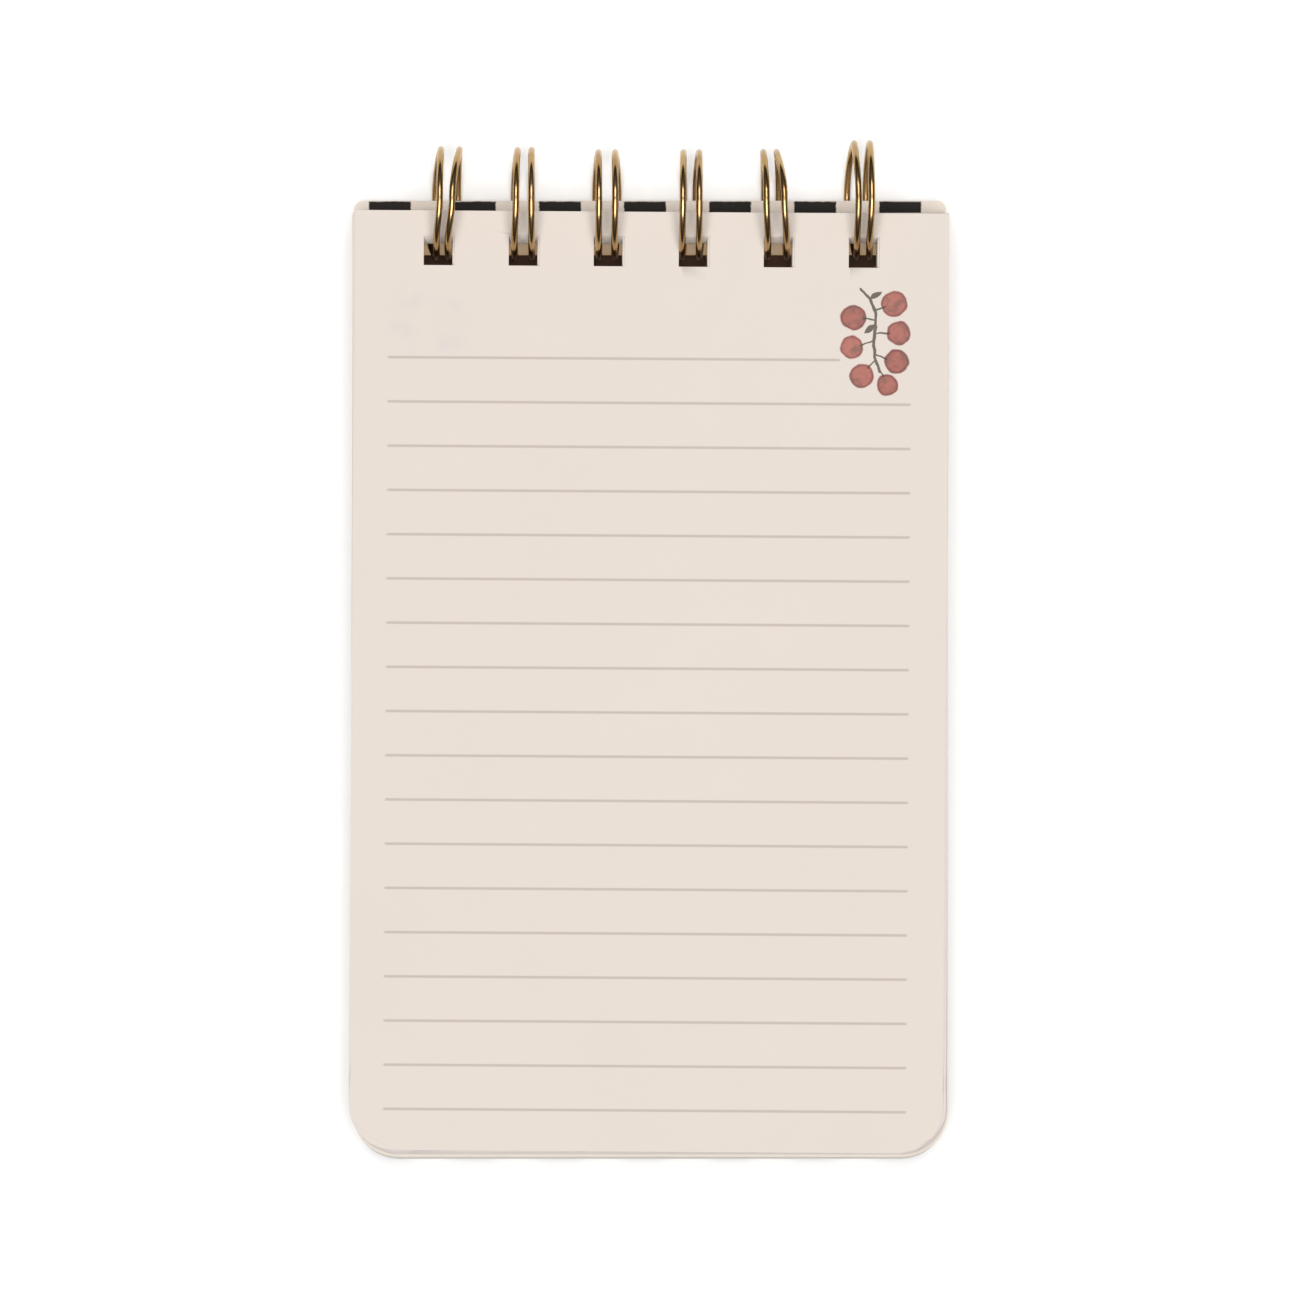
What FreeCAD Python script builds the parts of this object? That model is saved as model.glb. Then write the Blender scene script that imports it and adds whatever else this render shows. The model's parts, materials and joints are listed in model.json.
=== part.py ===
import FreeCAD, Part
import math
import os

from FreeCAD import Vector

# A pocket notebook bound along its top edge with double-loop wire, open at its first leaf, with
# its front cover folded right round behind the pad. All lengths are in mm and angles in degrees.
#
# The model is drawn round the ring axis, which runs along X through the middle of the wire loops.
# Sheets hang from the loops towards -Y, and a sheet's level is its height over the ring axis.
# At the end everything is leaned back until the far edge of the folded cover meets the table,
# and moved so that the origin is the middle of the underside of the whole.

# Wire binding
WIRE_DIAMETER = 1.0
RING_ROOM = 1.108         # from the level of the straight bars down to the bottom of the ring
LOOP_COUNT = 6
LOOP_PITCH = 12.7         # two loops to the inch
LOOP_SPACING = 2.56       # between the two arms of a loop, middle to middle
ELBOW_RADIUS = 1.0        # where an arm bends into the straight bar to the next loop
END_STUB = 1.6            # of straight wire left past the outermost elbows
TIP_CLEARANCE = 0.65      # between a loop's closed tip and the bars that it was pressed up to

# Sheets
SHEET_WIDTH = 88.9
LOOP_CLEARANCE = 0.52     # at each side of a loop, in its hole
HOLE_HEIGHT = 4.5
HOLE_MARGIN = 3.66        # from a sheet's top edge to its row of holes

# Leaves
LEAF_COUNT = 50
LEAF_LENGTH = 140.5
LEAF_THICKNESS = 0.12
LEAF_PITCH = 0.168        # from one leaf to the next, as they lie a little ruffled
LEAF_CORNER = 6.8
TOP_LEAF_LEVEL = 3.8
LEAF_HANG = 0.16          # how much further than the wire the middle of a hole hangs
LOW_LEAF_HANG = 0.4       # added by the lowest leaf, where the pad slumps on its back cover
TOP_LEAF_TURN = -0.38     # the top leaf lies a little turned, clockwise from above
TOP_LEAF_SHIFT = 0.25     # and a little to the right
TURN_FADE = 2.2           # leaves over which that turn and shift fade away
RUFFLE_SHIFT = 0.12       # the rest of the leaves wander sideways by up to this
RUFFLE_TURN = 0.04

# Covers: a printed face and a lining glued to a board
COVER_OVERHANG = 1.5      # by which a cover is longer than a leaf
FACE_THICKNESS = 0.12
BOARD_THICKNESS = 0.56
LINING_THICKNESS = 0.12
COVER_CORNER = 6.8
COVER_TOP_CORNER = 1.4
HANG_CLEARANCE = 0.25     # between the wire and the upper edges of the holes the back cover hangs by
PAD_CLEARANCE = 0.10      # between the lowest leaf and the back cover
COVER_CLEARANCE = 0.15    # between the back cover and the folded front cover
BAR_CLEARANCE = 0.05      # between a cover, or the top leaf, and the bars pressed to it

# Worked out from the sizes above
WIRE_RADIUS = WIRE_DIAMETER / 2
HOLE_WIDTH = LOOP_SPACING + WIRE_DIAMETER + 2 * LOOP_CLEARANCE
COVER_LENGTH = LEAF_LENGTH + COVER_OVERHANG
COVER_THICKNESS = FACE_THICKNESS + BOARD_THICKNESS + LINING_THICKNESS
TOP_TO_HOLES = HOLE_MARGIN + HOLE_HEIGHT / 2
LOWEST_LEAF_LEVEL = TOP_LEAF_LEVEL - (LEAF_COUNT - 1) * LEAF_PITCH
BACK_COVER_TOP = LOWEST_LEAF_LEVEL - LEAF_THICKNESS / 2 - PAD_CLEARANCE
FRONT_COVER_TOP = BACK_COVER_TOP - COVER_THICKNESS - COVER_CLEARANCE
FRONT_COVER_LEVEL = FRONT_COVER_TOP - COVER_THICKNESS / 2
BAR_DEPTH = COVER_THICKNESS - FRONT_COVER_TOP + BAR_CLEARANCE + WIRE_RADIUS
RING_RADIUS = BAR_DEPTH + RING_ROOM    # from the ring axis to the middle of the wire


def ring_angle(level):
    """Where the ring reaches a level, in degrees from the -Y side and rising."""
    return math.degrees(math.asin(level / RING_RADIUS))


def ring_reach(level):
    """How far from the ring axis, towards the sheets, the wire passes through a level."""
    return math.sqrt(RING_RADIUS ** 2 - level ** 2)


def on_ring(x, angle):
    """The point of the ring at an angle: 0 is its -Y side, 90 its top, 180 its +Y side."""
    turn = math.radians(angle)
    return Vector(x, -RING_RADIUS * math.cos(turn), RING_RADIUS * math.sin(turn))


def along_ring(angle):
    """The direction in which the ring runs on at an angle."""
    turn = math.radians(angle)
    return Vector(0, math.sin(turn), math.cos(turn))


BAR_ANGLE = ring_angle(-BAR_DEPTH)
ELBOW_ANGLE = BAR_ANGLE + math.degrees(ELBOW_RADIUS / RING_RADIUS)
TIP_REACH = TIP_CLEARANCE + WIRE_DIAMETER + LOOP_SPACING / 2
TIP_ANGLE = 360 + BAR_ANGLE - math.degrees(TIP_REACH / RING_RADIUS)


def quarter_bend(start, way_in, way_out, radius):
    """A quarter circle that leaves start along way_in and ends along way_out."""
    middle = start + way_out * radius
    halfway = middle + (way_in - way_out) * (radius * math.sqrt(0.5))
    return Part.Arc(start, halfway, middle + way_in * radius).toShape()


def loop_path(x, bar_from, bar_to):
    """The middle line of one loop, from the bar on its left to the bar on its right."""
    left = x - LOOP_SPACING / 2
    right = x + LOOP_SPACING / 2
    across = Vector(1, 0, 0)
    rising = along_ring(ELBOW_ANGLE)
    tip_way = along_ring(TIP_ANGLE)
    halfway_round = (ELBOW_ANGLE + TIP_ANGLE) / 2
    first_bar_end = on_ring(left, ELBOW_ANGLE) - rising * ELBOW_RADIUS - across * ELBOW_RADIUS
    last_bar_end = on_ring(right, ELBOW_ANGLE) - rising * ELBOW_RADIUS + across * ELBOW_RADIUS
    bar_start = Vector(bar_from, first_bar_end.y, first_bar_end.z)
    bar_finish = Vector(bar_to, last_bar_end.y, last_bar_end.z)
    tip = on_ring(x, TIP_ANGLE) + tip_way * (LOOP_SPACING / 2)
    up_arm = Part.Arc(on_ring(left, ELBOW_ANGLE), on_ring(left, halfway_round), on_ring(left, TIP_ANGLE))
    down_arm = Part.Arc(on_ring(right, TIP_ANGLE), on_ring(right, halfway_round), on_ring(right, ELBOW_ANGLE))
    return [
        Part.LineSegment(bar_start, first_bar_end).toShape(),
        quarter_bend(first_bar_end, across, rising, ELBOW_RADIUS),
        up_arm.toShape(),
        Part.Arc(on_ring(left, TIP_ANGLE), tip, on_ring(right, TIP_ANGLE)).toShape(),
        down_arm.toShape(),
        quarter_bend(on_ring(right, ELBOW_ANGLE), rising * -1, across, ELBOW_RADIUS),
        Part.LineSegment(last_bar_end, bar_finish).toShape(),
    ]


def loop_places():
    """The x of the middle of each loop, and of the holes it runs through."""
    first = -(LOOP_COUNT - 1) * LOOP_PITCH / 2
    return [first + i * LOOP_PITCH for i in range(LOOP_COUNT)]


def binding_wire():
    """One length of wire bent into all the loops, with a bar from each loop to the next."""
    places = loop_places()
    end_reach = LOOP_SPACING / 2 + ELBOW_RADIUS + END_STUB
    edges = []
    for i, x in enumerate(places):
        bar_from = places[0] - end_reach if i == 0 else x - LOOP_PITCH / 2
        bar_to = places[-1] + end_reach if i == LOOP_COUNT - 1 else x + LOOP_PITCH / 2
        edges += loop_path(x, bar_from, bar_to)
    path = Part.Wire(edges)
    start = edges[0].Vertexes[0].Point
    section = Part.Wire(Part.makeCircle(WIRE_RADIUS, start, Vector(1, 0, 0)))
    wire = path.makePipeShell([section], True, True)
    expected = math.pi * WIRE_RADIUS ** 2 * path.Length
    print("wire volume", round(wire.Volume, 2), "of", round(expected, 2), "mm3, valid", wire.isValid())
    return wire


def rounded_outline(width, top, bottom, top_radius, bottom_radius):
    """A closed outline, centred on x = 0, with its top and bottom corners rounded."""
    half = width / 2
    corners = [
        (Vector(half, top, 0), top_radius),
        (Vector(-half, top, 0), top_radius),
        (Vector(-half, bottom, 0), bottom_radius),
        (Vector(half, bottom, 0), bottom_radius),
    ]
    edges = []
    last_end = None
    first_start = None
    for i, (corner, radius) in enumerate(corners):
        way_in = (corner - corners[i - 1][0]).normalize()
        way_out = (corners[(i + 1) % 4][0] - corner).normalize()
        arc_start = corner - way_in * radius
        arc_end = corner + way_out * radius
        if last_end is None:
            first_start = arc_start
        else:
            edges.append(Part.LineSegment(last_end, arc_start).toShape())
        if radius > 0:
            edges.append(quarter_bend(arc_start, way_in, way_out, radius))
        last_end = arc_end
    edges.append(Part.LineSegment(last_end, first_start).toShape())
    return Part.Wire(edges)


def hole_outline(x):
    """One punched hole, centred on the row of holes at y = 0."""
    left = x - HOLE_WIDTH / 2
    right = x + HOLE_WIDTH / 2
    half = HOLE_HEIGHT / 2
    corners = [Vector(left, -half, 0), Vector(right, -half, 0), Vector(right, half, 0), Vector(left, half, 0)]
    return Part.makePolygon(corners + corners[:1])


def punched_sheet(length, thickness, top_radius, bottom_radius):
    """A sheet with its row of holes along y = 0 and its underside at z = 0."""
    outline = rounded_outline(SHEET_WIDTH, TOP_TO_HOLES, TOP_TO_HOLES - length, top_radius, bottom_radius)
    face = Part.Face([outline] + [hole_outline(x) for x in loop_places()])
    return face.extrude(Vector(0, 0, thickness))


def leaf(number):
    """One ruled leaf where it lies in the pad: 1 is the top one."""
    depth = number - 1
    level = TOP_LEAF_LEVEL - depth * LEAF_PITCH
    slump = LOW_LEAF_HANG * max(0, level / LOWEST_LEAF_LEVEL)
    fade = math.exp(-depth / TURN_FADE)
    shift = TOP_LEAF_SHIFT * fade + RUFFLE_SHIFT * math.sin(2.4 * depth)
    turn = TOP_LEAF_TURN * fade + RUFFLE_TURN * math.sin(1.7 * depth)
    sheet = punched_sheet(LEAF_LENGTH, LEAF_THICKNESS, 0, LEAF_CORNER)
    sheet.rotate(Vector(0, 0, 0), Vector(0, 0, 1), turn)
    sheet.translate(Vector(shift, -ring_reach(level) - LEAF_HANG - slump, level - LEAF_THICKNESS / 2))
    return sheet


def cover(name, top, reach, layers):
    """The layers of one cover, from the top down, each as (layer, thickness).

    Its row of holes lies at reach from the ring axis.
    """
    nodes = {}
    for layer, thickness in layers:
        top -= thickness
        sheet = punched_sheet(COVER_LENGTH, thickness, COVER_TOP_CORNER, COVER_CORNER)
        sheet.translate(Vector(0, -reach, top))
        nodes[name + "_" + layer] = sheet
    return nodes


def front_cover():
    """Folded right round behind the pad, so its printed face looks up at the back cover."""
    layers = [("face", FACE_THICKNESS), ("board", BOARD_THICKNESS), ("lining", LINING_THICKNESS)]
    return cover("front_cover", FRONT_COVER_TOP, ring_reach(FRONT_COVER_LEVEL), layers)


def back_cover():
    """Under the pad, with its lining next to the lowest leaf, hanging by its holes from the wire."""
    layers = [("lining", LINING_THICKNESS), ("board", BOARD_THICKNESS), ("face", FACE_THICKNESS)]
    underside = BACK_COVER_TOP - COVER_THICKNESS
    wire_slant = math.cos(math.radians(ring_angle(underside)))
    wire_nearest = ring_reach(underside) - WIRE_RADIUS / wire_slant
    reach = wire_nearest - HANG_CLEARANCE + HOLE_HEIGHT / 2
    return cover("back_cover", BACK_COVER_TOP, reach, layers)


def lean_angle():
    """How far the pad leans back, so that the far edge of the folded cover rests on the table."""
    far = ring_reach(FRONT_COVER_LEVEL) + COVER_LENGTH - TOP_TO_HOLES
    deep = COVER_THICKNESS - FRONT_COVER_TOP
    lowest = RING_RADIUS + WIRE_RADIUS
    return math.degrees(math.asin(lowest / math.hypot(far, deep)) - math.atan2(deep, far))


def closed_tilt():
    """How far the front cover tips about its holes while it is folded from behind the pad to its top."""
    bar_over_leaf = TOP_LEAF_LEVEL + LEAF_THICKNESS / 2 + BAR_CLEARANCE + WIRE_RADIUS
    bar_to_cover = ring_angle(FRONT_COVER_LEVEL) - BAR_ANGLE
    return ring_angle(bar_over_leaf) + bar_to_cover - ring_angle(FRONT_COVER_LEVEL)


def main():
    nodes = {"binding_wire": binding_wire()}
    for number in range(1, LEAF_COUNT + 1):
        nodes["leaf_%02d" % number] = leaf(number)
    nodes.update(front_cover())
    nodes.update(back_cover())

    lean = lean_angle()
    for shape in nodes.values():
        shape.rotate(Vector(0, 0, 0), Vector(1, 0, 0), lean)
    box = Part.Compound(list(nodes.values())).optimalBoundingBox(False)
    to_origin = Vector(-box.Center.x, -box.Center.y, -box.ZMin)
    os.makedirs("parts", exist_ok=True)
    for name, shape in nodes.items():
        shape.translate(to_origin)
        shape.exportStep("parts/%s.step" % name)

    pivot = on_ring(0, ring_angle(FRONT_COVER_LEVEL))
    turned = FreeCAD.Rotation(Vector(1, 0, 0), lean).multVec(pivot)
    print("size", round(box.XLength, 3), round(box.YLength, 3), round(box.ZLength, 3))
    print("lean", round(lean, 4))
    print("ring axis at", [round(v, 4) for v in to_origin])
    print("front cover tips about", [round(v, 4) for v in turned + to_origin])
    print("tilt range", round(-closed_tilt(), 4), "fold range", round(closed_tilt() - 360, 4))


main()
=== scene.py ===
# %% [markdown]
# # A pocket notebook, open at its first leaf
# This lesson dresses a finished mechanical model of a small top-bound notebook. The model gives
# every sheet and the wire their size and place. Here they get what a camera would see: gold wire
# whose loops lean a little, paper with rules and a printed sprig, and striped covers.
# The first step loads the model, and notes its box before anything is added.

# %% Load the frame
import json
import math
import bpy
from mathutils import Matrix, Vector


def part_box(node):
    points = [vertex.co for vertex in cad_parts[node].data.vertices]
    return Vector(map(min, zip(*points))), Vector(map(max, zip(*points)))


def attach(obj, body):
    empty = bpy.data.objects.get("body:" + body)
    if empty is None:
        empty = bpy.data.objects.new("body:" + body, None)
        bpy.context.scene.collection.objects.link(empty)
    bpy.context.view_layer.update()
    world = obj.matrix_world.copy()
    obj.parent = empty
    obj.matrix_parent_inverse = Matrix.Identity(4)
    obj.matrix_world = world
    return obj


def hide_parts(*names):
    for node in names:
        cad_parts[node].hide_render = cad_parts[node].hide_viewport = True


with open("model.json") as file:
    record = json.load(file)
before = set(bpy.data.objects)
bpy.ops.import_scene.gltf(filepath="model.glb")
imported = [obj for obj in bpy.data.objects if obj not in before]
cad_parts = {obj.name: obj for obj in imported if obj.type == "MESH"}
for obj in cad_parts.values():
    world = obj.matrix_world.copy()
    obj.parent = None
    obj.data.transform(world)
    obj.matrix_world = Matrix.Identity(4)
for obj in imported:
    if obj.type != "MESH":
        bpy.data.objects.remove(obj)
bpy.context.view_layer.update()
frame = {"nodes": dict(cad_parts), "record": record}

MM = 0.001
LOOP_PITCH = 0.0127

joints = {joint["name"]: joint for joint in frame["record"]["behaviour"]["joints"]}
ring_axis = Vector(joints["cover_fold"]["pos_m"])
wire_low, wire_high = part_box("binding_wire")
leaf_low, leaf_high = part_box("leaf_01")
print("frame of", len(frame["nodes"]), "nodes, ring axis at", tuple(ring_axis))

# %% [markdown]
# The pad leans back by a little under one degree, because its binding end is held up by the
# loops. The lean is read off a leaf from the middle of the pad: its largest upward face tells
# which way up is for all the sheets.

# %% How far the pad leans
def upward_normal(node):
    """The direction that a sheet's top face looks in."""
    faces = [f for f in frame["nodes"][node].data.polygons if f.normal.z > 0.5]
    return max(faces, key=lambda f: f.area).normal.copy()


pad_up = upward_normal("leaf_25")
lean = math.atan2(-pad_up.y, pad_up.z)
print("the pad leans back by", round(math.degrees(lean), 3), "degrees")

# %% [markdown]
# The view is from straight above, from far enough away that the page hardly narrows towards the
# lower sheets. A long lens does that. The page fills the middle of a square picture, and the
# picture is a little wider than the notebook is long.

# %% The camera
CAMERA_HEIGHT = 1.9
PICTURE_WIDTH = 0.1942        # what the picture takes in, measured at the top leaf
AIM_BELOW_RING = 0.0668       # from the ring axis down the page to the middle of the picture
SENSOR_WIDTH = 36             # in mm
FARTHEST_SEEN = 10

page_level = leaf_high.z
bpy.ops.object.camera_add(
    location=(ring_axis.x, ring_axis.y - AIM_BELOW_RING, page_level + CAMERA_HEIGHT),
    rotation=(0, 0, 0))
camera = bpy.context.object
camera.name = "camera"
camera.data.sensor_width = SENSOR_WIDTH
camera.data.lens = SENSOR_WIDTH * CAMERA_HEIGHT / PICTURE_WIDTH
camera.data.clip_end = FARTHEST_SEEN
bpy.context.scene.camera = camera
print("lens", round(camera.data.lens), "mm")

# %% [markdown]
# Every finish below is a small network of shader nodes. A few helpers keep the wiring readable:
# a value may be a plain number or another node's output, and each helper returns an output that
# the next one can take.

# %% Words for wiring shader nodes
class Wiring:
    """Adds nodes to one node tree and joins them."""

    def __init__(self, tree):
        self.tree = tree

    def add(self, kind, **settings):
        node = self.tree.nodes.new(kind)
        for name, value in settings.items():
            setattr(node, name, value)
        return node

    def feed(self, socket, value):
        if isinstance(value, bpy.types.NodeSocket):
            self.tree.links.new(value, socket)
        else:
            socket.default_value = value

    def math(self, operation, *values, clamp=False):
        node = self.add("ShaderNodeMath", operation=operation, use_clamp=clamp)
        for socket, value in zip(node.inputs, values):
            self.feed(socket, value)
        return node.outputs[0]

    def vector(self, operation, *values, output="Vector", scale=None):
        node = self.add("ShaderNodeVectorMath", operation=operation)
        for socket, value in zip(node.inputs, values):
            self.feed(socket, value)
        if scale is not None:
            self.feed(node.inputs["Scale"], scale)
        return node.outputs[output]

    def split(self, vector):
        node = self.add("ShaderNodeSeparateXYZ")
        self.feed(node.inputs[0], vector)
        return node.outputs

    def join(self, x, y, z=0.0):
        node = self.add("ShaderNodeCombineXYZ")
        for socket, value in zip(node.inputs, (x, y, z)):
            self.feed(socket, value)
        return node.outputs[0]

    def step(self, value, start, end):
        """0 before start and 1 after end, smooth in between. start may be the larger one."""
        node = self.add("ShaderNodeMapRange", interpolation_type="SMOOTHSTEP")
        for name, given in (("Value", value), ("From Min", start), ("From Max", end)):
            self.feed(node.inputs[name], given)
        return node.outputs[0]

    def span(self, value, low, high):
        """Takes a texture's 0 to 1 to low to high."""
        node = self.add("ShaderNodeMapRange")
        for name, given in (("Value", value), ("To Min", low), ("To Max", high)):
            self.feed(node.inputs[name], given)
        return node.outputs[0]

    def blend(self, factor, a, b):
        """Colour a where factor is 0, colour b where it is 1."""
        node = self.add("ShaderNodeMix", data_type="RGBA")
        for name, given in (("Factor", factor), ("A", a), ("B", b)):
            self.feed(node.inputs[name], given)
        return node.outputs["Result"]

    def noise(self, vector, scale, detail=2.0, roughness=0.5):
        node = self.add("ShaderNodeTexNoise")
        self.feed(node.inputs["Vector"], vector)
        for name, value in (("Scale", scale), ("Detail", detail), ("Roughness", roughness)):
            self.feed(node.inputs[name], value)
        return node.outputs["Fac"]

    def bump(self, height, distance, strength=1.0):
        node = self.add("ShaderNodeBump")
        for name, value in (("Height", height), ("Distance", distance), ("Strength", strength)):
            self.feed(node.inputs[name], value)
        return node.outputs["Normal"]

    def use(self, group, **values):
        """Places a node group and feeds its inputs, named with underscores for spaces."""
        node = self.add("ShaderNodeGroup", node_tree=group)
        for name, value in values.items():
            self.feed(node.inputs[name.replace("_", " ")], value)
        return node.outputs


def new_group(name, inputs, outputs):
    """A shader node group with those sockets, as (group, wiring, inputs, outputs)."""
    group = bpy.data.node_groups.new(name, "ShaderNodeTree")
    for way, sockets in (("INPUT", inputs), ("OUTPUT", outputs)):
        for socket, kind in sockets.items():
            group.interface.new_socket(socket, in_out=way, socket_type="NodeSocket" + kind)
    wiring = Wiring(group)
    start = wiring.add("NodeGroupInput")
    end = wiring.add("NodeGroupOutput")
    return group, wiring, start.outputs, end.inputs


def new_material(name, **constants):
    """A Principled material with those constant settings, as (material, wiring, shader inputs)."""
    material = bpy.data.materials.new(name)
    material.use_nodes = True
    shader = material.node_tree.nodes["Principled BSDF"]
    for setting, value in constants.items():
        shader.inputs[setting.replace("_", " ")].default_value = value
    return material, Wiring(material.node_tree), shader.inputs


def linear(red, green, blue):
    """A colour named in everyday 0 to 255 screen values, as the shader wants it."""
    def one(value):
        """One part of it, by the standard curve of a screen."""
        share = value / 255
        return share / 12.92 if share <= 0.04045 else ((share + 0.055) / 1.055) ** 2.4
    return (one(red), one(green), one(blue), 1)


print("a middle grey screen value of 128 is", round(linear(128, 128, 128)[0], 3), "to the shader")

# %% [markdown]
# A plain white table under one wide softbox, which hangs a little to the near side, and a dimmer
# panel on the far side that reaches behind the pad. Polished wire is a mirror, so what surrounds
# it matters as much as the lamps: the softbox draws the bright line along each loop, and the
# panel the thin one behind it. The table itself glows very faintly, so that the shadow round the
# pad stays pale.

# %% The table and the lamps
FLOOR_SIZE = 8.0
TABLE_WHITE = (0.95, 0.95, 0.945, 1)
TABLE_GLOW = 0.18
SOFTBOX = ((0.0, -0.40, 2.6), (2.3, 1.6), 54)         # place, size and watts
FAR_PANEL = ((0.0, 1.05, 2.3), (1.8, 0.9), 20)


def soft_light(name, place, size, power):
    """A rectangular lamp that looks at the middle of the table."""
    bpy.ops.object.light_add(type="AREA", location=place)
    lamp = bpy.context.object
    lamp.name = name
    lamp.data.shape = "RECTANGLE"
    lamp.data.size, lamp.data.size_y = size
    lamp.data.energy = power
    beam = Vector((0, 0, 0)) - lamp.location
    lamp.rotation_euler = beam.to_track_quat("-Z", "Y").to_euler()


soft_light("softbox", *SOFTBOX)
soft_light("far_panel", *FAR_PANEL)

bpy.ops.mesh.primitive_plane_add(size=FLOOR_SIZE, location=(0, 0, 0))
floor = bpy.context.object
floor.name = "table_top"
floor_material, floor_wiring, floor_shader = new_material(
    "white_table", Base_Color=TABLE_WHITE, Roughness=0.9, Specular_IOR_Level=0.1,
    Emission_Strength=TABLE_GLOW)
floor.data.materials.append(floor_material)
print("table of", FLOOR_SIZE, "m under", SOFTBOX[2], "and", FAR_PANEL[2], "watts")

# %% [markdown]
# A dark room gives the loops their dark flanks. The world is therefore nearly black to everything
# but the camera, which sees it as pale as the table.

# %% The room
ROOM_BAND = (0.2, 0.95)       # from nearly level (0) to straight up (1), where it brightens
ROOM_LOW, ROOM_HIGH = (0.035, 0.033, 0.03, 1), (0.20, 0.20, 0.20, 1)
BACKDROP = (1, 1, 0.99, 1)

bpy.context.scene.view_settings.view_transform = "Standard"
world = bpy.data.worlds.new("studio")
bpy.context.scene.world = world
world.use_nodes = True
world.node_tree.nodes.clear()
wiring = Wiring(world.node_tree)
height = wiring.split(wiring.add("ShaderNodeTexCoord").outputs["Generated"])["Z"]
ramp = wiring.add("ShaderNodeValToRGB")
for element, position, colour in zip(ramp.color_ramp.elements, ROOM_BAND, (ROOM_LOW, ROOM_HIGH)):
    element.position = position
    element.color = colour
wiring.feed(ramp.inputs["Fac"], height)
by_camera = wiring.add("ShaderNodeLightPath").outputs["Is Camera Ray"]
background = wiring.add("ShaderNodeBackground")
wiring.feed(background.inputs["Color"], wiring.blend(by_camera, ramp.outputs["Color"], BACKDROP))
output = wiring.add("ShaderNodeOutputWorld")
wiring.feed(output.inputs["Surface"], background.outputs["Background"])
print("room of", len(world.node_tree.nodes), "nodes")

# %% [markdown]
# The table's glow keeps the shadow round the pad pale, and ends under the sheets. Only below the
# punched holes, where the table is just seen, a dim brown one stands in for the light that cream
# paper and gold wire throw down the holes.

# %% The glow round the notebook
GLOW_FADE = 0.004             # it fades over this much, inside the sheets' outline
BROWN_SIDE = (0.038, 0.036)   # to either side, where the brown glow starts and is full
BROWN_FOOT = (0.013, 0.011)   # the same, down from the top edge of the leaf
NO_GLOW, BROWN_GLOW, WHITE_GLOW = (0, 0, 0, 1), (0.85, 0.56, 0.26, 1), (1, 1, 1, 1)

sheet_side, sheet_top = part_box("front_cover_face")[1].xy
place = floor_wiring.split(floor_wiring.add("ShaderNodeTexCoord").outputs["Object"])
off_x, off_y = (floor_wiring.math("ABSOLUTE", place[axis]) for axis in ("X", "Y"))
glow = floor_wiring.math(
    "MAXIMUM", floor_wiring.step(off_x, sheet_side - GLOW_FADE, sheet_side),
    floor_wiring.step(off_y, sheet_top - GLOW_FADE, sheet_top))
below_holes = floor_wiring.math(
    "MULTIPLY", floor_wiring.step(off_x, *BROWN_SIDE),
    floor_wiring.step(place["Y"], *(leaf_high.y - down for down in BROWN_FOOT)))
under = floor_wiring.blend(below_holes, NO_GLOW, BROWN_GLOW)
floor_wiring.feed(floor_shader["Emission Color"], floor_wiring.blend(glow, under, WHITE_GLOW))
print("glow ends at", round(sheet_side, 4), "and", round(sheet_top, 4))

# %% [markdown]
# Prints belong to their sheet, so each sheet's material starts by finding the place on the sheet:
# x in millimetres from the middle, and y in millimetres from the top edge, negative down the page.
# A Mapping node in its texture mode does this, given where the sheet's top edge is and how far
# the sheet is turned. Both are read from the sheet's own corners.

# %% Where a sheet's print starts
def sheet_place(node):
    """(the middle of a square-cornered sheet's top edge, how far the sheet is turned)."""
    points = [v.co for v in frame["nodes"][node].data.vertices]
    left = max(points, key=lambda p: p.y - p.x)
    right = max(points, key=lambda p: p.y + p.x)
    return (left + right) / 2, math.atan2(right.y - left.y, right.x - left.x)


def place_on_sheet(wiring, middle, turn):
    """The place on the sheet in millimetres, and 1 on its upper face, -1 on its lower one."""
    coordinates = wiring.add("ShaderNodeTexCoord")
    mapping = wiring.add("ShaderNodeMapping", vector_type="TEXTURE")
    mapping.inputs["Location"].default_value = (middle.x, middle.y, 0)
    mapping.inputs["Rotation"].default_value = (0, 0, turn)
    mapping.inputs["Scale"].default_value = (MM, MM, MM)
    wiring.feed(mapping.inputs["Vector"], coordinates.outputs["Object"])
    up = wiring.split(coordinates.outputs["Normal"])[2]
    return mapping.outputs["Vector"], up


print("top leaf starts at", [round(c, 5) for c in sheet_place("leaf_01")[0]],
      "turned", round(math.degrees(sheet_place("leaf_01")[1]), 3))

# %% [markdown]
# The printed sprig is this lesson's own: round berries to the left and right of a curved twig,
# with two narrow leaves near its top. A shader can draw it from distances alone. A berry is where
# the distance to its middle is less than its radius, and a twig is where the distance to a
# straight stroke is less than half its width. Both take the drawing so far and add to it, so a
# loop can string them together.

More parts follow.
